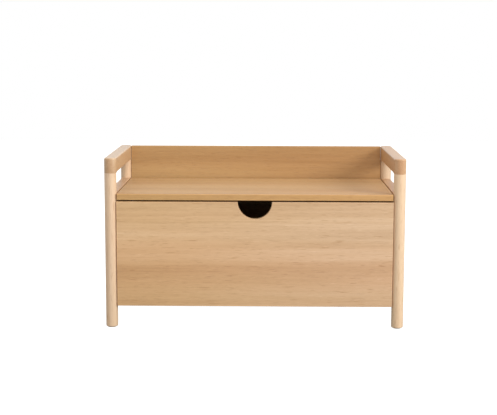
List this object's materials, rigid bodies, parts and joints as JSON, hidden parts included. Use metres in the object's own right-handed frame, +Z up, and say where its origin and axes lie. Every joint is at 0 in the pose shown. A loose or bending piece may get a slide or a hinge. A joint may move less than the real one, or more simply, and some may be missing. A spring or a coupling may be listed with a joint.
{
  "type": "wooden toy box",
  "caption": "Low wooden storage bench on round legs with arm rails, a back board, a lid that lifts on end pivots and a half-moon finger cut-out in the front.",
  "frame": {"origin": "on the floor, at the middle of the box's width and depth", "axes": "+X across the front towards the right-hand end as seen from the front, +Y from the front towards the back panel, +Z up"},
  "size_m": [0.85, 0.43, 0.486],
  "materials": {
    "leg_wood": "solid oak, satin lacquer",
    "rail_wood": "solid oak, satin lacquer",
    "front_veneer": "oak veneer, matte lacquer, grain across the width",
    "back_veneer": "oak veneer, matte lacquer, grain across the width",
    "side_veneer": "oak veneer, matte lacquer",
    "lid_veneer": "oak veneer, matte lacquer, grain across the width",
    "bottom_board": "plywood, unlacquered",
    "cleat_wood": "planed pine",
    "dowel_wood": "fluted beech, raw",
    "bolt_steel": "zinc plated",
    "cam_alloy": "cast zinc alloy, nickel finish",
    "screw_steel": "yellow zinc plated",
    "plate_steel": "zinc plated",
    "damper_plastic": "moulded, matte",
    "bumper_rubber": "soft brown rubber",
    "glide_plastic": "moulded, matte"
  },
  "bodies": {
    "carcass": {"leg_front_left": "leg_wood", "leg_front_right": "leg_wood", "leg_rear_left": "leg_wood", "leg_rear_right": "leg_wood", "arm_rail_left": "rail_wood", "arm_rail_right": "rail_wood", "side_panel_left": "side_veneer", "side_panel_right": "side_veneer", "front_panel": "front_veneer", "back_panel": "back_veneer", "bottom_panel": "bottom_board", "front_cleat": "cleat_wood", "back_cleat": "cleat_wood", "side_cleat_left": "cleat_wood", "side_cleat_right": "cleat_wood", "lid_bumpers": "bumper_rubber", "foot_glides": "glide_plastic", "rail_dowels": "dowel_wood", "side_panel_dowels": "dowel_wood", "panel_dowels": "dowel_wood", "cam_bolts": "bolt_steel", "cam_locks": "cam_alloy", "cleat_screws": "screw_steel", "bottom_screws": "screw_steel", "pivot_plate_left": "plate_steel", "pivot_plate_right": "plate_steel", "pivot_screws": "plate_steel", "damper_rotor_left": "damper_plastic", "damper_rotor_right": "damper_plastic"},
    "lid": {"lid": "lid_veneer", "damper_housing_left": "damper_plastic", "damper_housing_right": "damper_plastic"}
  },
  "joints": [
    {"name": "lid_hinge", "type": "hinge", "parent": "carcass", "child": "lid", "pos_m": [0, 0.1785, 0.376], "axis": [-1, 0, 0], "range_deg": [0, 90]}
  ]
}
